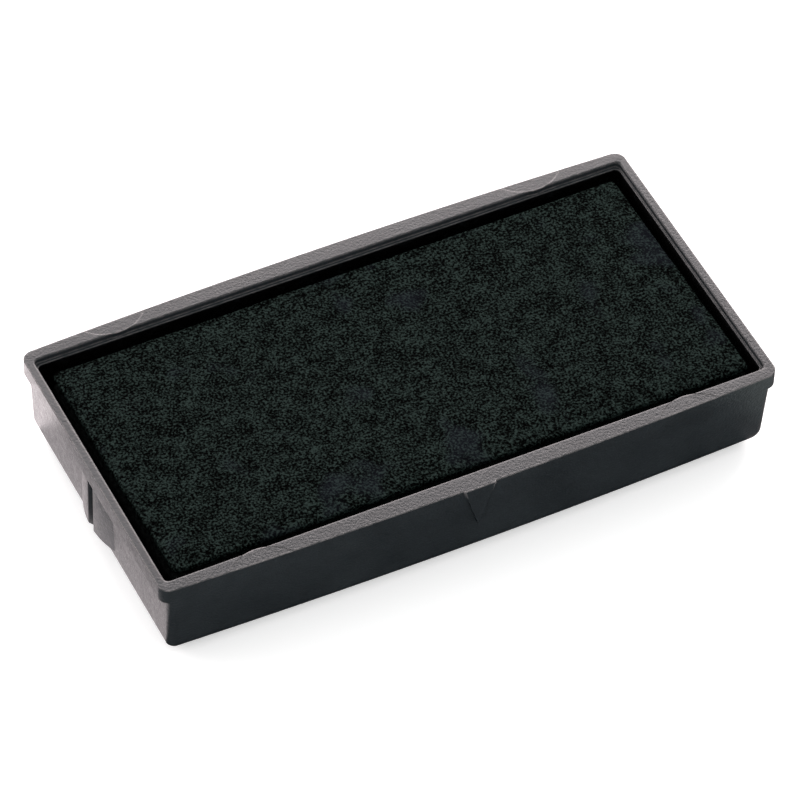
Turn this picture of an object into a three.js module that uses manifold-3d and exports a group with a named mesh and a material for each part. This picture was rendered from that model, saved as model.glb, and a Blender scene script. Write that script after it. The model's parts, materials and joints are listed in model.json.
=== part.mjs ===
/**
 * Replacement ink pad for a self-inking hand stamp: a shallow moulded tray with
 * a slide lip at each end, holding a block of ink felt under a napped inking layer.
 *
 * Millimetres, +Z up. The origin is at the middle of the underside, the long
 * side runs along X, and the pad faces up.
 */
import * as THREE from 'three';
import { mergeVertices } from 'three/addons/utils/BufferGeometryUtils.js';
import Module from 'manifold-3d';

const wasm = await Module();
wasm.setup();

// Tray, outside
const LENGTH = 57.0;          // over the two slide lips
const WIDTH = 28.65;          // over the rim at its ends
const HEIGHT = 9.2;
const BOW = 0.55;             // how far each long side swells out at mid length
const RIM_CORNER = 1.0;
const BODY_CORNER = 0.7;
const RIM_ROUND = 0.05;       // rounding of the rim's outer top edge
const FOOT_ROUND = 1.95;      // rounding of the bottom edge
const LIP_DROP = 1.55;        // height of the slide lips
const LIP_REACH = 0.62;       // how far a slide lip stands out over the end wall
const END_LEAN = 0.1;         // how far the foot stands in from the end wall's top
const SIDE_LEAN = 0.52;       // the same for the long walls

// Tray, inside
const END_RIM = 0.76;         // width of the rim's flat at the ends
const SIDE_RIM = 1.03;        // width of the rim's flat at the ends of the long sides
const OPENING_CORNER = 0.5;
const OPENING_ROUND = 0.15;   // rounding of the rim's inner top edge
const LEDGE_DROP = 0.53;      // from the rim down to the ledge
const LEDGE_END = 0.16;       // width of the ledge at the ends
const LEDGE_SIDE = 0.3;       // width of the ledge along the sides
const WELL_END_LEAN = 0.38;   // how far the well closes in towards its floor
const WELL_SIDE_LEAN = 0.42;
const WELL_ROUND = 0.4;
const FLOOR = 1.0;

// Snap on each end wall, a half-round boss with a slot down its middle
const SNAP_WIDTH = 6.2;
const SNAP_PROUD = 0.62;
const SNAP_ROOT = 0.2;        // how deep in the wall the slope under the boss begins
const SNAP_FOOT = 1.25;       // where that slope begins, above the underside
const SNAP_RAMP = 1.0;        // height of the slope
const SLOT_WIDTH = 1.0;

// Arrow on the long wall at -Y, pointing down from the rim
const ARROW_WIDTH = 2.9;
const ARROW_HEIGHT = 4.8;
const ARROW_PROUD = 0.16;

// Ejector pin marks on the rim
const PIN_RADIUS = 3.54;
const PIN_FROM_END = 8.7;     // from the end of the rim to a mark's middle
const PIN_BITE = 0.09;        // how far a mark reaches past the rim's inner edge
const PIN_SINK = 0.03;

// Pad
const PAD_SINK = 0.63;        // from the rim down to the inking face
const PAD_END_GAP = 0.88;     // clear space round the pad, level with the ledge
const PAD_SIDE_GAP = 0.88;
const PAD_CORNER = 0.4;
const PAD_ROUND = 0.2;
const LAYER_THICK = 0.87;
const ADHESIVE_THICK = 0.2;
const ADHESIVE_INSET = 0.8;
const CLEARANCE = 0.3;        // between pieces that lie on each other

const CORNER_STEPS = 10;
const BOW_STEPS = 18;
const ROUND_STEPS = 5;
const FOOT_STEPS = 12;

const half = { x: LENGTH / 2, y: WIDTH / 2 };
const bodyHalfX = half.x - LIP_REACH;
const lipBottom = HEIGHT - LIP_DROP;
const ledgeZ = HEIGHT - LEDGE_DROP;
const opening = { x: half.x - END_RIM, y: half.y - SIDE_RIM };
const well = { x: opening.x - LEDGE_END, y: opening.y - LEDGE_SIDE };
const pad = { x: well.x - PAD_END_GAP, y: well.y - PAD_SIDE_GAP };

/** Half the rim's width at a distance x from mid length. */
function sideLine(x) {
  return half.y + BOW * (1 - (x / half.x) ** 2);
}

/** A curve's points after its first one, for an outline. */
function pointsAfterFirst(curve, steps) {
  return curve.getPoints(steps).slice(1);
}

/** One corner arc of an outline, going counterclockwise from the angle `from`. */
function cornerArc(x, y, radius, from) {
  const arc = new THREE.EllipseCurve(x, y, radius, radius, from, from + Math.PI / 2);
  return pointsAfterFirst(arc, CORNER_STEPS);
}

/**
 * A rectangle with round corners. `crown` is how far its long sides swell out
 * between the corners.
 */
function roundedOutline(halfX, halfY, corner, crown = 0) {
  const x = halfX - corner;
  const y = halfY - corner;
  const side = (sign) => new THREE.QuadraticBezierCurve(
    new THREE.Vector2(-sign * x, -sign * halfY),
    new THREE.Vector2(0, -sign * (halfY + 2 * crown)),
    new THREE.Vector2(sign * x, -sign * halfY),
  );
  const sideSteps = crown > 0 ? BOW_STEPS : 1;
  return new THREE.Shape([
    ...pointsAfterFirst(side(1), sideSteps),
    ...cornerArc(x, -y, corner, -Math.PI / 2),
    ...cornerArc(x, y, corner, 0).slice(0, -1),
    new THREE.Vector2(x, halfY),
    ...pointsAfterFirst(side(-1), sideSteps),
    ...cornerArc(-x, y, corner, Math.PI / 2),
    ...cornerArc(-x, -y, corner, Math.PI),
  ]);
}

/** The tray's outline, whose long sides follow sideLine whatever its length. */
function bowedOutline(halfX, corner) {
  const x = halfX - corner;
  return roundedOutline(halfX, sideLine(x), corner, sideLine(0) - sideLine(x));
}

/**
 * Stacks an outline through levels, each { z, inX, inY }: its height, and how
 * far the outline is drawn in there along X and Y.
 */
function stacked(outline, size, levels) {
  const steps = levels.length - 1;
  const geometry = new THREE.ExtrudeGeometry(outline, {
    depth: steps, steps, bevelEnabled: false, curveSegments: 1,
  });
  const position = geometry.getAttribute('position');
  for (let i = 0; i < position.count; i += 1) {
    const level = levels[Math.round(position.getZ(i))];
    position.setXYZ(
      i,
      position.getX(i) * (1 - level.inX / size.x),
      position.getY(i) * (1 - level.inY / size.y),
      level.z,
    );
  }
  return geometry;
}

/** Levels round a convex edge: from a flat face into a wall, or the other way. */
function roundLevels(z, radius, rising, steps = ROUND_STEPS) {
  return Array.from({ length: steps + 1 }, (_, i) => {
    const angle = (i / steps) * (Math.PI / 2);
    const inset = rising ? radius * (1 - Math.sin(angle)) : radius * (1 - Math.cos(angle));
    const height = rising ? radius * (1 - Math.cos(angle)) : -radius * (1 - Math.sin(angle));
    return { z: z + height, inX: inset, inY: inset };
  });
}

/** Adds a wall's lean to levels: full at zFoot and none from zTop up. */
function leaning(levels, zFoot, zTop, leanX, leanY) {
  return levels.map(({ z, inX, inY }) => {
    const share = Math.max(0, (zTop - z) / (zTop - zFoot));
    return { z, inX: inX + leanX * share, inY: inY + leanY * share };
  });
}

/** The same inset on both axes at one height. */
function level(z, inset = 0) {
  return { z, inX: inset, inY: inset };
}

/** A closed geometry as a solid that can be joined and cut. */
function toSolid(geometry) {
  const bare = geometry.clone();
  bare.deleteAttribute('normal');
  bare.deleteAttribute('uv');
  const merged = mergeVertices(bare, 1e-5);
  return new wasm.Manifold(new wasm.Mesh({
    numProp: 3,
    vertProperties: new Float32Array(merged.getAttribute('position').array),
    triVerts: new Uint32Array(merged.getIndex().array),
  }));
}

/** A solid's surface as a geometry with flat faces. */
function toGeometry(solid) {
  const mesh = solid.getMesh();
  const geometry = new THREE.BufferGeometry();
  geometry.setAttribute('position', new THREE.BufferAttribute(mesh.vertProperties, 3));
  geometry.setIndex(new THREE.BufferAttribute(mesh.triVerts, 1));
  geometry.computeVertexNormals();
  return geometry;
}

/** An upright round bar between two heights. */
function bar(x, y, radius, zLow, zHigh) {
  const geometry = new THREE.CylinderGeometry(radius, radius, zHigh - zLow, 96);
  geometry.rotateX(Math.PI / 2).translate(x, y, (zLow + zHigh) / 2);
  return toSolid(geometry);
}

/** The outer shell of the tray, still solid inside. */
function trayBlock() {
  const foot = roundLevels(0, FOOT_ROUND, true, FOOT_STEPS);
  const wall = [...foot, level(lipBottom), level(HEIGHT - LIP_DROP / 2)];
  const body = stacked(
    bowedOutline(bodyHalfX, BODY_CORNER),
    { x: bodyHalfX, y: half.y },
    leaning(wall, 0, lipBottom, END_LEAN, SIDE_LEAN),
  );
  const rim = stacked(
    bowedOutline(half.x, RIM_CORNER),
    half,
    [level(lipBottom), ...roundLevels(HEIGHT, RIM_ROUND, false)],
  );
  return toSolid(body).add(toSolid(rim));
}

/** The half-round snap boss of the end at +X, before its slot is cut. */
function snapBoss() {
  const radius = (SNAP_WIDTH ** 2 / 4 + SNAP_PROUD ** 2) / (2 * SNAP_PROUD);
  const foot = radius - SNAP_PROUD - SNAP_ROOT;
  const geometry = new THREE.LatheGeometry([
    new THREE.Vector2(0, SNAP_FOOT),
    new THREE.Vector2(foot, SNAP_FOOT),
    new THREE.Vector2(radius, SNAP_FOOT + SNAP_RAMP),
    new THREE.Vector2(radius, HEIGHT - LIP_DROP / 2),
    new THREE.Vector2(0, HEIGHT - LIP_DROP / 2),
  ], 144);
  geometry.rotateX(Math.PI / 2).translate(bodyHalfX + SNAP_PROUD - radius, 0, 0);
  return toSolid(geometry);
}

/** The slot down the middle of the snap boss at +X, as deep as the boss is proud. */
function snapSlot() {
  const depth = SNAP_PROUD + LIP_REACH;
  const geometry = new THREE.BoxGeometry(depth, SLOT_WIDTH, lipBottom + 1);
  geometry.translate(bodyHalfX + depth / 2, 0, (lipBottom - 1) / 2);
  return toSolid(geometry);
}

/** The arrow on the long wall at -Y: an upright triangle that the wall leans away from. */
function arrow() {
  const root = SIDE_RIM / 2 + BOW;
  const geometry = new THREE.ExtrudeGeometry(new THREE.Shape([
    new THREE.Vector2(0, HEIGHT - ARROW_HEIGHT),
    new THREE.Vector2(ARROW_WIDTH / 2, HEIGHT),
    new THREE.Vector2(-ARROW_WIDTH / 2, HEIGHT),
  ]), { depth: ARROW_PROUD + root, bevelEnabled: false });
  geometry.rotateX(Math.PI / 2).translate(0, root - sideLine(0), 0);
  return toSolid(geometry);
}

/** The four ejector pins, standing where they pressed on the rim. */
function ejectorPins(zLow, zHigh) {
  const x = half.x - PIN_FROM_END;
  const y = opening.y - PIN_BITE + PIN_RADIUS;
  const [first, ...others] = [[-1, -1], [1, -1], [1, 1], [-1, 1]].map(
    ([signX, signY]) => bar(signX * x, signY * y, PIN_RADIUS, zLow, zHigh),
  );
  return others.reduce((all, pin) => all.add(pin), first);
}

/** What is cut from the tray above the ledge. The pin marks swell into it a little. */
function openingCut() {
  const above = HEIGHT + 1;
  const mouth = roundLevels(HEIGHT, OPENING_ROUND, false).map(({ z, inX }) => level(z, -inX));
  const cut = stacked(
    roundedOutline(opening.x, opening.y, OPENING_CORNER),
    opening,
    [level(ledgeZ), ...mouth, level(above, -OPENING_ROUND)],
  );
  return toSolid(cut).subtract(ejectorPins(ledgeZ - 1, above + 1));
}

/** The well that holds the pad, drawn in towards its floor. */
function wellCut() {
  const levels = [...roundLevels(FLOOR, WELL_ROUND, true), level(ledgeZ), level(HEIGHT + 1)];
  const cut = stacked(
    roundedOutline(well.x, well.y, OPENING_CORNER),
    well,
    leaning(levels, FLOOR, ledgeZ, WELL_END_LEAN, WELL_SIDE_LEAN),
  );
  return toSolid(cut);
}

/** The whole tray. Both ends have the snap; only the wall at -Y has the arrow. */
function trayGeometry() {
  const boss = snapBoss();
  const slot = snapSlot();
  let tray = trayBlock().add(arrow());
  for (const turn of [0, 180]) {
    tray = tray.add(boss.rotate([0, 0, turn])).subtract(slot.rotate([0, 0, turn]));
  }
  tray = tray.subtract(openingCut()).subtract(wellCut());
  return toGeometry(tray.subtract(ejectorPins(HEIGHT - PIN_SINK, HEIGHT + 1)));
}

/** A flat slab of the pad's outline, drawn in by `inset`, with a rounded top edge. */
function padSlab(thick, inset, round) {
  const size = { x: pad.x - inset, y: pad.y - inset };
  const top = round > 0 ? roundLevels(thick, round, false) : [level(thick)];
  return stacked(roundedOutline(size.x, size.y, PAD_CORNER), size, [level(0), ...top]);
}

/** A named mesh with a material of its own. */
function piece(name, geometry, color, roughness) {
  const material = new THREE.MeshStandardMaterial({ color, roughness, metalness: 0 });
  const mesh = new THREE.Mesh(geometry, material);
  mesh.name = name;
  return mesh;
}

const adhesiveZ = FLOOR + CLEARANCE;
const coreZ = adhesiveZ + ADHESIVE_THICK + CLEARANCE;
const layerZ = HEIGHT - PAD_SINK - LAYER_THICK;
const coreThick = layerZ - CLEARANCE - coreZ;

const tray = piece('tray', trayGeometry(), 0x2c2f31, 0.48);
const adhesive = piece(
  'pad_adhesive', padSlab(ADHESIVE_THICK, ADHESIVE_INSET, 0), 0x6b6a60, 0.6,
);
const core = piece('ink_felt', padSlab(coreThick, 0, 0), 0x121415, 0.95);
const layer = piece('inking_layer', padSlab(LAYER_THICK, 0, PAD_ROUND), 0x171c1b, 0.98);
adhesive.position.z = adhesiveZ;
core.position.z = coreZ;
layer.position.z = layerZ;

const padStack = new THREE.Group();
padStack.add(adhesive, core, layer);

const inkPad = new THREE.Group();
inkPad.add(tray, padStack);

export default inkPad;
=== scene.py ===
"""An ink pad for a self-inking stamp, dressed and lit on a plain table.

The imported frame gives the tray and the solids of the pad. This file gives the tray its moulded
finish, builds the inked felt and the napped layer on it, and sets up the table, lights and camera.
Lengths are in metres. The origin is in the middle of the tray's underside, the tray's length runs
along X, and the inking face looks up along Z.
"""

import json
import logging
import math
from dataclasses import dataclass, field
from enum import Enum

import bmesh
import bpy
import numpy as np
from mathutils import Matrix, Vector, noise

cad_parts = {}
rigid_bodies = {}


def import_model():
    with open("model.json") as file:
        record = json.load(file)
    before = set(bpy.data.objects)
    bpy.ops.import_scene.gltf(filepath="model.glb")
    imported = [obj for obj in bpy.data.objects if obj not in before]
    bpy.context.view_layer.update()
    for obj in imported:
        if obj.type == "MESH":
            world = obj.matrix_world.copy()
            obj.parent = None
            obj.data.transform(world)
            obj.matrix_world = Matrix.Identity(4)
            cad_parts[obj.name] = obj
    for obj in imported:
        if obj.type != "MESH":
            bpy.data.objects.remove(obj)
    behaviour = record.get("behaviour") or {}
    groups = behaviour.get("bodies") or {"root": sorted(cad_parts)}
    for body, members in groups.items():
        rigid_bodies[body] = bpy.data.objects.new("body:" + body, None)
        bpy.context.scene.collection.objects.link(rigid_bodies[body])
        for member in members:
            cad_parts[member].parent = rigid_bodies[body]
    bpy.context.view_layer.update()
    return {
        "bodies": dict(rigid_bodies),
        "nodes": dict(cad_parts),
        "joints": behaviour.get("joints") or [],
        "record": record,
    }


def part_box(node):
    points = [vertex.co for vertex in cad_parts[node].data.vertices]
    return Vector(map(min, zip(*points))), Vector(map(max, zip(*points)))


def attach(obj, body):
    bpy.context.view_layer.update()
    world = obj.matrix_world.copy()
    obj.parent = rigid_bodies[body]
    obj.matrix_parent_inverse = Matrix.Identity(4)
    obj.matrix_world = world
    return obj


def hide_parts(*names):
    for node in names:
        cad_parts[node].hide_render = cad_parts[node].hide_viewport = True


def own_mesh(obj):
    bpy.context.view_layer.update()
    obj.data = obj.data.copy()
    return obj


MM = 0.001
TINY = 1e-9
FULL = (0.0, 1.0)
LOG = logging.getLogger("ink_pad")
SEED = 7  # without one, the noise along the pad's edge is new in each run

Colour = tuple[float, float, float]
Span = tuple[float, float]
Frame = dict[str, object]


class Body(Enum):
    """The rigid bodies of the frame that pieces ride on."""

    TRAY = "tray"
    INKING_FACE = "inking_face"


class Slot(Enum):
    """The record's material slots."""

    TRAY = "tray"
    ADHESIVE = "adhesive"
    INK_FELT = "ink_felt"
    INKING_LAYER = "inking_layer"


class Recipe:
    """The nodes of one material, so that a finish reads as a short list of steps."""

    BEVEL_SAMPLES = 6
    FLAT = 0.998
    SHARP = 0.955

    def __init__(self, name: str) -> None:
        """Start a material that has a surface shader and a coordinate source.

        Args:
            name: the material's name.
        """
        self.material = bpy.data.materials.new(name)
        self.material.use_nodes = True
        self.tree = self.material.node_tree
        self.shader = self.tree.nodes["Principled BSDF"]
        self.place = self.tree.nodes.new("ShaderNodeTexCoord").outputs["Object"]

    def set(self, **values: object) -> None:
        """Set the shader's own sockets.

        Args:
            values: socket names, with underscores for spaces, and their values.
        """
        for name, value in values.items():
            socket = self.shader.inputs[name.replace("_", " ")]
            socket.default_value = (*value, 1.0) if isinstance(value, tuple) else value

    def feed(self, name: str, source: bpy.types.NodeSocket) -> None:
        """Link a source to one of the shader's sockets.

        Args:
            name: the socket's name.
            source: what feeds it.
        """
        self.tree.links.new(source, self.shader.inputs[name])

    def stretched(self, scale: tuple[float, float, float]) -> bpy.types.NodeSocket:
        """The object's coordinates, scaled differently along each axis.

        Args:
            scale: the scale along X, Y and Z.

        Returns:
            The scaled coordinates.
        """
        mapping = self.tree.nodes.new("ShaderNodeMapping")
        mapping.inputs["Scale"].default_value = scale
        self.tree.links.new(self.place, mapping.inputs["Vector"])
        return mapping.outputs["Vector"]

    def grain(
        self,
        size: float,
        detail: float = 2.0,
        roughness: float = 0.5,
        place: bpy.types.NodeSocket | None = None,
    ) -> bpy.types.NodeSocket:
        """A soft random pattern.

        Args:
            size: how wide its spots are, in metres.
            detail: how many finer patterns are laid over it.
            roughness: how strongly the finer patterns show.
            place: the coordinates it is laid out on, or the object's own.

        Returns:
            The pattern's value, about 0.5 on average.
        """
        node = self.tree.nodes.new("ShaderNodeTexNoise")
        node.inputs["Scale"].default_value = 1.0 / size
        node.inputs["Detail"].default_value = detail
        node.inputs["Roughness"].default_value = roughness
        self.tree.links.new(place or self.place, node.inputs["Vector"])
        return node.outputs["Fac"]

    def ranged(
        self, source: bpy.types.NodeSocket, low: float, high: float, to: Span
    ) -> bpy.types.NodeSocket:
        """A value moved from one range to another and held inside it.

        Args:
            source: the value.
            low: what becomes the new range's first end.
            high: what becomes its second.
            to: the new range.

        Returns:
            The moved value.
        """
        node = self.tree.nodes.new("ShaderNodeMapRange")
        node.inputs["From Min"].default_value = low
        node.inputs["From Max"].default_value = high
        node.inputs["To Min"].default_value = to[0]
        node.inputs["To Max"].default_value = to[1]
        self.tree.links.new(source, node.inputs["Value"])
        return node.outputs["Result"]

    def shades(
        self, source: bpy.types.NodeSocket, stops: list[tuple[float, Colour]]
    ) -> bpy.types.NodeSocket:
        """A colour picked along a value.

        Args:
            source: the value, from 0 to 1.
            stops: the places and colours that it runs through.

        Returns:
            The colour.
        """
        node = self.tree.nodes.new("ShaderNodeValToRGB")
        ramp = node.color_ramp
        while len(ramp.elements) < len(stops):
            ramp.elements.new(0.5)
        for element, (at, colour) in zip(ramp.elements, stops):
            element.position = at
            element.color = (*colour, 1.0)
        self.tree.links.new(source, node.inputs["Fac"])
        return node.outputs["Color"]

    def mixed(
        self, first: bpy.types.NodeSocket, second: bpy.types.NodeSocket, share: float
    ) -> bpy.types.NodeSocket:
        """Two values blended.

        Args:
            first: the first value.
            second: the second value.
            share: how much of the second is in the blend, from 0 to 1.

        Returns:
            The blended value.
        """
        node = self.tree.nodes.new("ShaderNodeMix")
        node.inputs["Factor"].default_value = share
        self.tree.links.new(first, node.inputs["A"])
        self.tree.links.new(second, node.inputs["B"])
        return node.outputs["Result"]

    def relief(
        self,
        height: bpy.types.NodeSocket,
        depth: float,
        under: bpy.types.NodeSocket | None = None,
    ) -> bpy.types.NodeSocket:
        """A surface normal disturbed by a height.

        Args:
            height: the height, from 0 to 1.
            depth: how far 1 stands over 0, in metres.
            under: a normal that it builds on.

        Returns:
            The new normal.
        """
        node = self.tree.nodes.new("ShaderNodeBump")
        node.inputs["Distance"].default_value = depth
        self.tree.links.new(height, node.inputs["Height"])
        if under is not None:
            self.tree.links.new(under, node.inputs["Normal"])
        return node.outputs["Normal"]

    def times(self, *values: bpy.types.NodeSocket) -> bpy.types.NodeSocket:
        """Values multiplied together.

        Args:
            values: the values.

        Returns:
            Their product.
        """
        product = values[0]
        for value in values[1:]:
            node = self.tree.nodes.new("ShaderNodeMath")
            node.operation = "MULTIPLY"
            self.tree.links.new(product, node.inputs[0])
            self.tree.links.new(value, node.inputs[1])
            product = node.outputs["Value"]
        return product

    def height_mask(self, low: float, high: float) -> bpy.types.NodeSocket:
        """A value that runs from 0 at one height to 1 at another, and stays there beyond them.

        Args:
            low: the height at which it is 0, in metres.
            high: the height at which it is 1, which may be the lower of the two.

        Returns:
            The value.
        """
        parts = self.tree.nodes.new("ShaderNodeSeparateXYZ")
        self.tree.links.new(self.place, parts.inputs["Vector"])
        return self.ranged(parts.outputs["Z"], low, high, FULL)

    def well_mask(self, half: Vector, edge: float) -> bpy.types.NodeSocket:
        """A value that is 1 inside an upright rectangle about the Z axis and 0 outside it.

        Args:
            half: half its length and width.
            edge: how wide its soft border is, in metres.

        Returns:
            The value.
        """
        size = self.tree.nodes.new("ShaderNodeVectorMath")
        size.operation = "ABSOLUTE"
        self.tree.links.new(self.place, size.inputs[0])
        parts = self.tree.nodes.new("ShaderNodeSeparateXYZ")
        self.tree.links.new(size.outputs["Vector"], parts.inputs["Vector"])
        return self.times(
            self.ranged(parts.outputs["X"], half.x + edge, half.x, FULL),
            self.ranged(parts.outputs["Y"], half.y + edge, half.y, FULL),
        )

    def blended(
        self, share: bpy.types.NodeSocket, under: bpy.types.NodeSocket, over: Colour
    ) -> bpy.types.NodeSocket:
        """A colour laid over another one.

        Args:
            share: how much of the upper colour shows, from 0 to 1.
            under: the lower colour.
            over: the upper colour.

        Returns:
            The blended colour.
        """
        node = self.tree.nodes.new("ShaderNodeMix")
        node.data_type = "RGBA"
        colours = [i for i in node.inputs if i.type == "RGBA"]
        colours[1].default_value = (*over, 1.0)
        self.tree.links.new(share, node.inputs["Factor"])
        self.tree.links.new(under, colours[0])
        return next(o for o in node.outputs if o.type == "RGBA")

    def broken_edges(self, radius: float) -> bpy.types.NodeSocket:
        """A normal that rounds sharp edges.

        Args:
            radius: the rounding's radius, in metres.

        Returns:
            The normal.
        """
        node = self.tree.nodes.new("ShaderNodeBevel")
        node.samples = self.BEVEL_SAMPLES
        node.inputs["Radius"].default_value = radius
        return node.outputs["Normal"]

    def edge_mask(self, width: float) -> bpy.types.NodeSocket:
        """A value that is 1 along sharp edges and 0 on flat faces.

        Args:
            width: how far from an edge it reaches, in metres.

        Returns:
            The value, from how far the rounded normal turns off the face's own.
        """
        geometry = self.tree.nodes.new("ShaderNodeNewGeometry")
        agree = self.tree.nodes.new("ShaderNodeVectorMath")
        agree.operation = "DOT_PRODUCT"
        self.tree.links.new(self.broken_edges(width), agree.inputs[0])
        self.tree.links.new(geometry.outputs["Normal"], agree.inputs[1])
        return self.ranged(agree.outputs["Value"], self.FLAT, self.SHARP, FULL)


@dataclass(frozen=True)
class MouldedPlastic:
    """Charcoal plastic as it leaves a spark-eroded mould: even, faintly grained, softly sheened."""

    dark: Colour = (0.0145, 0.0190, 0.0222)
    light: Colour = (0.0195, 0.0250, 0.0285)
    # Pale colour along the rim's edges: a painted highlight, partly edge wear.
    highlight_and_wear: Colour = (0.22, 0.205, 0.205)
    # Near-black ink stain, darkened further as painted shade in the gap around the pad.
    ink: Colour = (0.0008, 0.0011, 0.0012)
    sheen_low: float = 0.29
    sheen_high: float = 0.47
    grain_size: float = 0.22 * MM
    grain_depth: float = 0.042 * MM
    cloud_size: float = 5.0 * MM
    scuff_size: float = 0.6 * MM
    edge_radius: float = 0.12 * MM
    highlight_and_wear_width: float = 0.2 * MM
    highlight_and_wear_depth: float = 1.1 * MM
    ink_and_shade_reach: float = 0.9 * MM
    ink_and_shade_edge: float = 0.08 * MM
    ink_and_shade_fade: Span = (0.5, 0.7)
    tone_span: Span = (0.35, 0.65)
    highlight_and_wear_span: Span = (0.35, 0.62)
    highlight_and_wear_shown: Span = (0.35, 1.0)
    ink_and_shade_span: Span = (0.3, 0.45)
    ink_and_shade_shown: Span = (0.7, 1.0)
    ior: float = 1.52

    def material(self) -> bpy.types.Material:
        """Mix the plastic, with a painted highlight, partly edge wear, along its rim's edges and
        ink stain with painted shade on its well's walls around the pad.

        Returns:
            The material.
        """
        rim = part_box("tray")[1].z
        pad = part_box("inking_layer")[1]
        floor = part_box("pad_adhesive")[0].z
        recipe = Recipe("moulded_plastic")
        cloud = recipe.grain(self.cloud_size, detail=4.0, roughness=0.6)
        fine = recipe.grain(self.grain_size, detail=3.0, roughness=0.6)
        scuff = recipe.grain(self.scuff_size, detail=4.0, roughness=0.7)
        plain_colour = recipe.shades(cloud, list(zip(self.tone_span, (self.dark, self.light))))
        # Painted highlight, partly edge wear, on sharp edges near the rim's top.
        highlight_and_wear_mask = recipe.times(
            recipe.edge_mask(self.highlight_and_wear_width),
            recipe.ranged(scuff, *self.highlight_and_wear_span, self.highlight_and_wear_shown),
            recipe.height_mask(rim - self.highlight_and_wear_depth, rim),
        )
        # Ink stain and painted shade on the well's walls below the pad's top, where the gap lies in
        # shade.
        stain = recipe.times(
            recipe.well_mask(pad + Vector((self.ink_and_shade_reach, self.ink_and_shade_reach, 0.0)), self.ink_and_shade_edge),
            recipe.height_mask(pad.z + self.ink_and_shade_edge, pad.z - self.ink_and_shade_edge),
            recipe.height_mask(*(share * floor for share in self.ink_and_shade_fade)),
            recipe.ranged(scuff, *self.ink_and_shade_span, self.ink_and_shade_shown),
        )
        recipe.feed(
            "Base Color",
            recipe.blended(stain, recipe.blended(highlight_and_wear_mask, plain_colour, self.highlight_and_wear), self.ink),
        )
        blotch = recipe.mixed(scuff, fine, 0.5)
        recipe.feed(
            "Roughness", recipe.ranged(blotch, *self.tone_span, (self.sheen_low, self.sheen_high))
        )
        edges = recipe.broken_edges(self.edge_radius)
        recipe.feed("Normal", recipe.relief(fine, self.grain_depth, edges))
        recipe.set(IOR=self.ior)
        return recipe.material


@dataclass(frozen=True)
class InkedNap:
    """Fine napped cloth wet with black ink: dark pits between short, paler, matted fibres."""

    pit: Colour = (0.0001, 0.0001, 0.0001)
    fibre: Colour = (0.0023, 0.0036, 0.0032)
    tip: Colour = (0.0072, 0.0113, 0.0101)
    bright_tip: Colour = (0.0164, 0.0254, 0.0227)
    ink_bloom: Colour = (0.0110, 0.0130, 0.0185)
    bloom_size: float = 5.5 * MM
    bloom_span: Span = (0.58, 0.68)
    bloom_share: float = 0.33
    stops: tuple[float, float, float, float] = (0.42, 0.476, 0.534, 0.605)
    fibre_size: float = 0.2 * MM
    mat_size: float = 1.4 * MM
    mat_share: float = 0.28
    depth: float = 0.1 * MM

    def material(self) -> bpy.types.Material:
        """Mix the cloth.

        Returns:
            The material.
        """
        recipe = Recipe("inked_nap")
        nap = recipe.grain(self.fibre_size, detail=1.5, roughness=0.55)
        matting = recipe.grain(self.mat_size, detail=3.0, roughness=0.6)
        tangle = recipe.mixed(nap, matting, self.mat_share)
        colours = (self.pit, self.fibre, self.tip, self.bright_tip)
        fibres = recipe.shades(tangle, list(zip(self.stops, colours)))
        patches = recipe.grain(self.bloom_size)
        bloom = recipe.ranged(patches, *self.bloom_span, (0.0, self.bloom_share))
        recipe.feed("Base Color", recipe.blended(bloom, fibres, self.ink_bloom))
        recipe.feed("Normal", recipe.relief(nap, self.depth))
        recipe.set(Roughness=0.85, Specular_IOR_Level=0.01)
        return recipe.material


@dataclass(frozen=True)
class InkedFelt:
    """Dense pressed felt, soaked black, with matted fibres lying every way along its cut sides."""

    deep: Colour = (0.0008, 0.0012, 0.0012)
    fibre: Colour = (0.009, 0.0115, 0.011)
    fibre_size: float = 0.35 * MM
    lie: tuple[float, float, float] = (1.0, 1.0, 2.6)
    tone_span: Span = (0.4, 0.65)
    depth: float = 0.12 * MM

    def material(self) -> bpy.types.Material:
        """Mix the felt.

        Returns:
            The material.
        """
        recipe = Recipe("inked_felt")
        lying = recipe.grain(
            self.fibre_size, detail=3.0, roughness=0.65, place=recipe.stretched(self.lie)
        )
        tones = list(zip(self.tone_span, (self.deep, self.fibre)))
        recipe.feed("Base Color", recipe.shades(lying, tones))
        recipe.feed("Normal", recipe.relief(lying, self.depth))
        recipe.set(Roughness=0.92, Specular_IOR_Level=0.1)
        return recipe.material


@dataclass(frozen=True)
class AdhesiveFilm:
    """A thin double-sided film, slightly cloudy and stained where ink has crept under the felt."""

    clean: Colour = (0.42, 0.41, 0.36)
    stained: Colour = (0.05, 0.055, 0.06)
    stain_size: float = 4.0 * MM
    ripple_size: float = 1.2 * MM
    ripple_depth: float = 0.02 * MM
    stain_span: Span = (0.42, 0.6)
    ripple_span: Span = (0.3, 0.7)
    sheen: Span = (0.3, 0.5)

    def material(self) -> bpy.types.Material:
        """Mix the film.

        Returns:
            The material.
        """
        recipe = Recipe("adhesive_film")
        stain = recipe.grain(self.stain_size, detail=4.0, roughness=0.6)
        tones = list(zip(self.stain_span, (self.stained, self.clean)))
        recipe.feed("Base Color", recipe.shades(stain, tones))
        ripple = recipe.grain(self.ripple_size, detail=2.0)
        recipe.feed("Roughness", recipe.ranged(ripple, *self.ripple_span, self.sheen))
        recipe.feed("Normal", recipe.relief(ripple, self.ripple_depth))
        return recipe.material


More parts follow.
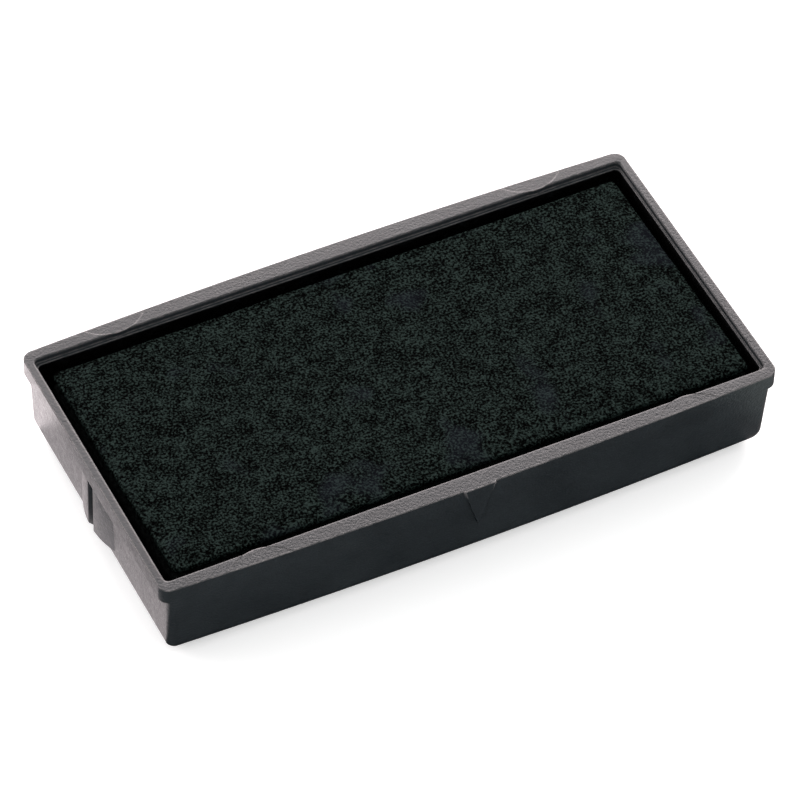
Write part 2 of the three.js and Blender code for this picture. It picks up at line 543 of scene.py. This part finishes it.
@dataclass(frozen=True)
class LightTable:
    """A plain white table top, lit a little from underneath so that shadows on it stay pale."""

    colour: Colour = (0.9, 0.9, 0.9)
    glow: float = 0.45

    def material(self) -> bpy.types.Material:
        """Mix the table's white.

        Returns:
            The material.
        """
        recipe = Recipe("light_table")
        recipe.set(
            Base_Color=self.colour, Roughness=0.9, Specular_IOR_Level=0.1,
            Emission_Color=self.colour, Emission_Strength=self.glow,
        )
        self.clear_from_below(recipe)
        return recipe.material

    @staticmethod
    def clear_from_below(recipe: Recipe) -> None:
        """Let the table's back be seen through, so that what stands on it shows from below.

        Args:
            recipe: the table's recipe, whose surface is changed.
        """
        nodes, links = recipe.tree.nodes, recipe.tree.links
        side = nodes.new("ShaderNodeNewGeometry").outputs["Backfacing"]
        blend = nodes.new("ShaderNodeMixShader")
        links.new(side, blend.inputs[0])
        links.new(recipe.shader.outputs["BSDF"], blend.inputs[1])
        links.new(nodes.new("ShaderNodeBsdfTransparent").outputs["BSDF"], blend.inputs[2])
        links.new(blend.outputs["Shader"], nodes["Material Output"].inputs["Surface"])


def finished(piece: bpy.types.Object, material: bpy.types.Material) -> None:
    """Give a piece its one material.

    Args:
        piece: the piece to dress.
        material: its finish.
    """
    piece.data.materials.clear()
    piece.data.materials.append(material)


def new_piece(name: str, bm: bmesh.types.BMesh) -> bpy.types.Object:
    """Turn a bmesh into a smooth-shaded piece at the origin.

    Args:
        name: the piece's name.
        bm: the finished bmesh, which is freed.

    Returns:
        The new object.
    """
    bmesh.ops.recalc_face_normals(bm, faces=bm.faces)
    mesh = bpy.data.meshes.new(name)
    bm.to_mesh(mesh)
    bm.free()
    mesh.polygons.foreach_set("use_smooth", [True] * len(mesh.polygons))
    piece = bpy.data.objects.new(name, mesh)
    bpy.context.scene.collection.objects.link(piece)
    return piece


def clouds(name: str, size: float, depth: int) -> bpy.types.Texture:
    """A soft noise texture for displacing a surface.

    Args:
        name: the texture's name.
        size: how wide its spots are, in metres.
        depth: how many finer patterns are laid over it.

    Returns:
        The texture.
    """
    texture = bpy.data.textures.new(name, "CLOUDS")
    texture.noise_scale = size
    texture.noise_depth = depth
    return texture


def displaced(piece: bpy.types.Object, texture: bpy.types.Texture, height: float) -> None:
    """Roughen a piece's surface along its normals.

    Args:
        piece: the piece.
        texture: the pattern of the roughness.
        height: how far the highest spots stand over the lowest, in metres.
    """
    modifier = piece.modifiers.new(texture.name, "DISPLACE")
    modifier.texture = texture
    modifier.texture_coords = "LOCAL"
    modifier.strength = height
    modifier.mid_level = 0.5


def subdivided(piece: bpy.types.Object, levels: int) -> None:
    """Smooth a piece with the same subdivision on screen and in the render.

    Args:
        piece: the piece.
        levels: how many times its faces are divided.
    """
    modifier = piece.modifiers.new("smooth", "SUBSURF")
    modifier.levels = modifier.render_levels = levels


@dataclass
class Tray:
    """The moulded tray. Its shape is the frame's; it gets clean shading and its plastic."""

    frame: Frame
    finish: MouldedPlastic = field(default_factory=MouldedPlastic)
    weld: float = 0.002 * MM
    crease: float = math.radians(13)
    area_weight: int = 100

    def build(self) -> bpy.types.Object:
        """Dress the tray.

        Returns:
            The tray's own object.
        """
        tray = self.frame["nodes"]["tray"]
        tray.data.polygons.foreach_set("use_smooth", [True] * len(tray.data.polygons))
        weld = tray.modifiers.new("weld", "WELD")
        weld.merge_threshold = self.weld
        split = tray.modifiers.new("creases", "EDGE_SPLIT")
        split.split_angle = self.crease
        split.use_edge_sharp = False
        even = tray.modifiers.new("flat_faces_stay_flat", "WEIGHTED_NORMAL")
        even.weight = self.area_weight
        finished(tray, self.finish.material())
        return tray


@dataclass
class PadBond:
    """The film that holds the felt to the tray's floor."""

    frame: Frame
    finish: AdhesiveFilm = field(default_factory=AdhesiveFilm)

    def build(self) -> bpy.types.Object:
        """Dress the film.

        Returns:
            The film's own object.
        """
        film = self.frame["nodes"]["pad_adhesive"]
        finished(film, self.finish.material())
        return film


@dataclass(frozen=True)
class Trim:
    """How far each corner of the pad was cut off true, in metres along X and Y."""

    back_left: tuple[float, float] = (-0.1 * MM, -0.15 * MM)
    front_left: tuple[float, float] = (0.2 * MM, -0.05 * MM)
    back_right: tuple[float, float] = (0.05 * MM, 0.1 * MM)
    front_right: tuple[float, float] = (0.32 * MM, -0.08 * MM)
    wander: float = 0.07 * MM
    wander_every: float = 3.0 * MM
    edge_power: int = 6

    def moved(self, point: Vector, half: Vector) -> Vector:
        """Where a point of a true rectangular pad lies on the pad as it was cut.

        Args:
            point: the point.
            half: half the pad's length and width.

        Returns:
            The moved point.
        """
        u, v = point.x / half.x, point.y / half.y
        corners = (
            (self.back_left, (1 - u) * (1 + v)),
            (self.front_left, (1 - u) * (1 - v)),
            (self.back_right, (1 + u) * (1 + v)),
            (self.front_right, (1 + u) * (1 - v)),
        )
        shift = Vector((0.0, 0.0, 0.0))
        for (dx, dy), weight in corners:
            shift += Vector((dx, dy, 0.0)) * (weight / 4)
        near = max(abs(u), abs(v)) ** self.edge_power
        sway = noise.noise_vector(point / self.wander_every) * (self.wander * near)
        return point + shift + Vector((sway.x, sway.y, 0.0))


@dataclass
class InkingLayer:
    """The napped cloth on top of the felt, which the stamp's plate presses on."""

    trim: Trim = field(default_factory=Trim)
    finish: InkedNap = field(default_factory=InkedNap)
    cell: float = 1.0 * MM
    corner: float = 0.16 * MM
    crown: float = 0.1 * MM
    sim_scale: float = 100.0
    sim_frames: int = 20
    sim_quality: int = 6
    pressure: float = 4.0
    tuck: float = 0.25 * MM
    grip: float = 0.05 * MM
    levels: int = 3
    nap_size: float = 0.26 * MM
    nap_height: float = 0.07 * MM

    def slab(self) -> bmesh.types.BMesh:
        """The layer before it swells: a flat slab with broken top edges.

        Returns:
            The slab, with its top in square cells and its underside in one face.
        """
        low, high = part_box("inking_layer")
        bm = bmesh.new()
        columns = round((high.x - low.x) / self.cell)
        rows = round((high.y - low.y) / self.cell)
        top = high.z - self.crown
        across = Matrix.Diagonal((high.x - low.x, high.y - low.y, 1.0, 1.0))
        bmesh.ops.create_grid(
            bm, x_segments=columns, y_segments=rows, size=0.5,
            matrix=Matrix.Translation((0.0, 0.0, top)) @ across,
        )
        rim = [e for e in bm.edges if e.is_boundary]
        skirt = bmesh.ops.extrude_edge_only(bm, edges=rim)["geom"]
        corners = [v for v in skirt if isinstance(v, bmesh.types.BMVert)]
        bmesh.ops.translate(bm, verts=corners, vec=(0.0, 0.0, low.z - self.tuck - top))
        bmesh.ops.contextual_create(bm, geom=[e for e in bm.edges if e.is_boundary])
        bmesh.ops.bevel(
            bm, geom=rim, offset=self.corner, segments=3, profile=0.5, affect="EDGES",
            material=-1, clamp_overlap=True,
        )
        half = (high - low) / 2
        for vert in bm.verts:
            vert.co = self.trim.moved(vert.co, half)
        return bm

    def swollen(self, piece: bpy.types.Object) -> None:
        """Let the cloth swell over its felt, held down at its underside, and keep the result.

        Args:
            piece: the flat layer, whose mesh is changed.
        """
        mesh = piece.data
        before = np.array([v.co for v in mesh.vertices], float).reshape(-1, 3)
        held = piece.vertex_groups.new(name="held")
        floor = before[:, 2].min() + self.grip
        held.add([i for i, z in enumerate(before[:, 2]) if z < floor], 1.0, "REPLACE")
        mesh.transform(Matrix.Scale(self.sim_scale, 4))
        cloth = piece.modifiers.new("swell", "CLOTH")
        cloth.settings.quality = self.sim_quality
        cloth.settings.use_pressure = True
        cloth.settings.uniform_pressure_force = self.pressure
        cloth.settings.effector_weights.gravity = 0.0
        cloth.settings.vertex_group_mass = "held"
        cloth.collision_settings.use_collision = False
        cloth.point_cache.frame_end = self.sim_frames
        for frame in range(1, self.sim_frames + 1):
            bpy.context.scene.frame_set(frame)
        shown = piece.evaluated_get(bpy.context.evaluated_depsgraph_get()).data
        after = np.array([v.co for v in shown.vertices], float).reshape(-1, 3) / self.sim_scale
        piece.modifiers.remove(cloth)
        piece.vertex_groups.remove(held)
        bpy.context.scene.frame_set(1)
        move = after - before
        far = np.linalg.norm(move, axis=1, keepdims=True)
        capped = move * (np.tanh(far / self.crown) * self.crown / np.maximum(far, TINY))
        mesh.vertices.foreach_set("co", (before + capped).astype(np.float32).ravel())
        mesh.update()

    def build(self) -> bpy.types.Object:
        """Make the layer, let it swell, and roughen its nap.

        Returns:
            The layer.
        """
        layer = new_piece("inking_cloth", self.slab())
        self.swollen(layer)
        subdivided(layer, self.levels)
        displaced(layer, clouds("nap", self.nap_size, 1), self.nap_height)
        finished(layer, self.finish.material())
        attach(layer, Body.INKING_FACE.value)
        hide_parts("inking_layer")
        return layer


@dataclass
class FeltBlock:
    """The thick felt under the inking layer, which holds the ink and gives under pressure."""

    trim: Trim = field(default_factory=Trim)
    finish: InkedFelt = field(default_factory=InkedFelt)
    press: float = 0.5 * MM
    cuts: tuple[int, int, int] = (44, 20, 5)
    shag_size: float = 0.5 * MM
    shag: float = 0.08 * MM

    def build(self) -> bpy.types.Object:
        """Make the block, cut it to the pad's trim, and roughen its surface.

        Returns:
            The block.
        """
        low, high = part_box("ink_felt")
        size = high - low
        bm = bmesh.new()
        bmesh.ops.create_cube(
            bm, size=1.0,
            matrix=Matrix.Translation((low + high) / 2) @ Matrix.Diagonal((*size, 1.0)),
        )
        for axis, count in enumerate(self.cuts):
            along = [
                e for e in bm.edges
                if abs((e.verts[1].co - e.verts[0].co)[axis]) > 0.9 * size[axis]
            ]
            bmesh.ops.subdivide_edges(bm, edges=along, cuts=count, use_grid_fill=True)
        half = size / 2
        for vert in bm.verts:
            vert.co = self.trim.moved(vert.co, half)
        block = new_piece("felt_block", bm)
        subdivided(block, 1)
        displaced(block, clouds("shag", self.shag_size, 2), self.shag)
        finished(block, self.finish.material())
        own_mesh(block)
        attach(block, Body.TRAY.value)
        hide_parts("ink_felt")
        return block


def bearing(azimuth: float, elevation: float) -> Vector:
    """The direction that lies at two angles.

    Args:
        azimuth: the angle from +Y towards +X, in degrees.
        elevation: the angle up from the table, in degrees.

    Returns:
        A vector of length 1.
    """
    around, up = math.radians(azimuth), math.radians(elevation)
    return Vector(
        (math.sin(around) * math.cos(up), math.cos(around) * math.cos(up), math.sin(up))
    )


def glowing_panel(
    name: str, size: tuple[float, float], radiance: float, colour: Colour
) -> bpy.types.Object:
    """A flat rectangular light that the camera doesn't see.

    Args:
        name: the light's name.
        size: its width and height.
        radiance: how bright it looks from in front.
        colour: its tint.

    Returns:
        The light, at the origin and facing down.
    """
    data = bpy.data.lights.new(name, "AREA")
    data.shape = "RECTANGLE"
    data.size, data.size_y = size
    data.energy = radiance * math.pi * size[0] * size[1]
    data.color = colour
    light = bpy.data.objects.new(name, data)
    light.visible_camera = False
    bpy.context.scene.collection.objects.link(light)
    return light


@dataclass(frozen=True)
class BounceCard:
    """A bright card lying on the table beside the object, shining up at its wall."""

    name: str
    centre: tuple[float, float]
    size: tuple[float, float]
    radiance: float
    colour: Colour = (1.0, 0.9, 0.915)
    lift: float = 0.2 * MM

    def build(self) -> bpy.types.Object:
        """Lay the card down, face up.

        Returns:
            The card.
        """
        card = glowing_panel(self.name, self.size, self.radiance, self.colour)
        card.location = (*self.centre, self.lift)
        card.rotation_euler = (math.pi, 0.0, 0.0)
        return card


@dataclass(frozen=True)
class SoftBox:
    """One flat studio light that faces the object. The camera sees only what it lights."""

    name: str
    azimuth: float
    elevation: float
    distance: float
    size: tuple[float, float]
    radiance: float
    colour: Colour = (1.0, 0.9, 0.9)

    def build(self, target: Vector) -> bpy.types.Object:
        """Hang the light and turn it to the target.

        Args:
            target: the point that it faces.

        Returns:
            The light.
        """
        light = glowing_panel(self.name, self.size, self.radiance, self.colour)
        away = bearing(self.azimuth, self.elevation)
        light.location = target + away * self.distance
        light.rotation_euler = away.to_track_quat("Z", "Y").to_euler()
        return light


@dataclass
class Studio:
    """A pale table, soft lights and the camera. Azimuths turn from +Y towards +X."""

    target: Vector = field(default_factory=lambda: Vector((0.00012, -0.00004, 0.0046)))
    camera_distance: float = 0.45164
    camera_azimuth: float = 208.06
    camera_elevation: float = 48.382
    camera_roll: float = 2.368
    lens: float = 240.28
    sensor: float = 36.0
    clip: tuple[float, float] = (0.01, 20.0)
    table: float = 4.0
    table_gap: float = 0.05 * MM
    sky: Colour = (1.0, 1.0, 1.0)
    sky_strength: float = 1.0
    lights: tuple[SoftBox, ...] = (
        SoftBox("back_light", 28.0, 25.3, 0.4, (0.5, 0.34), 6.2),
        SoftBox("side_light", -52.0, 20.0, 0.4, (0.25, 0.22), 3.0),
    )
    cards: tuple[BounceCard, ...] = (
        BounceCard("left_card", (-0.0301, 0.0005), (0.0066, 0.026), 1.6),
        BounceCard("left_back_card", (-0.0324, 0.0295), (0.0112, 0.032), 3.7),
        BounceCard("right_card", (0.0573, 0.015), (0.061, 0.06), 0.25),
        BounceCard("front_right_card", (0.0365, -0.0235), (0.015, 0.015), 0.6, (0.9, 1.0, 0.97)),
    )

    def camera(self) -> bpy.types.Object:
        """Set up the camera and make it the scene's own.

        Returns:
            The camera.
        """
        data = bpy.data.cameras.new("camera")
        data.lens = self.lens
        data.sensor_width = self.sensor
        data.clip_start, data.clip_end = self.clip
        camera = bpy.data.objects.new("camera", data)
        bpy.context.scene.collection.objects.link(camera)
        away = bearing(self.camera_azimuth, self.camera_elevation)
        turn = away.to_track_quat("Z", "Y").to_matrix().to_4x4()
        roll = Matrix.Rotation(math.radians(self.camera_roll), 4, "Z")
        camera.matrix_world = (
            Matrix.Translation(self.target + away * self.camera_distance) @ turn @ roll
        )
        bpy.context.scene.camera = camera
        return camera

    def table_top(self) -> bpy.types.Object:
        """Lay the table top just under the tray.

        Returns:
            The table top.
        """
        bm = bmesh.new()
        bmesh.ops.create_grid(
            bm, x_segments=1, y_segments=1, size=self.table / 2,
            matrix=Matrix.Translation((0.0, 0.0, -self.table_gap)),
        )
        table = new_piece("table_top", bm)
        table.data.materials.append(LightTable().material())
        table.visible_glossy = False
        return table

    def surroundings(self) -> None:
        """Fill the room with soft even light."""
        world = bpy.data.worlds.new("room")
        world.use_nodes = True
        background = world.node_tree.nodes["Background"]
        background.inputs["Color"].default_value = (*self.sky, 1.0)
        background.inputs["Strength"].default_value = self.sky_strength
        world.cycles_visibility.glossy = False
        bpy.context.scene.world = world

    def build(self) -> None:
        """Set up the whole studio."""
        bpy.context.scene.view_settings.view_transform = "Standard"
        self.camera()
        self.table_top()
        self.surroundings()
        for light in self.lights:
            light.build(self.target)
        for card in self.cards:
            card.build()


def main() -> None:
    """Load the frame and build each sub-assembly in order."""
    logging.basicConfig(level=logging.INFO, format="%(name)s: %(message)s")
    noise.seed_set(SEED)
    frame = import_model()
    builders = (Tray(frame), PadBond(frame), FeltBlock(), InkingLayer())
    for builder in builders:
        piece = builder.build()
        LOG.info("%s: %d faces", piece.name, len(piece.data.polygons))
    Studio().build()


if __name__ == "__main__":
    main()
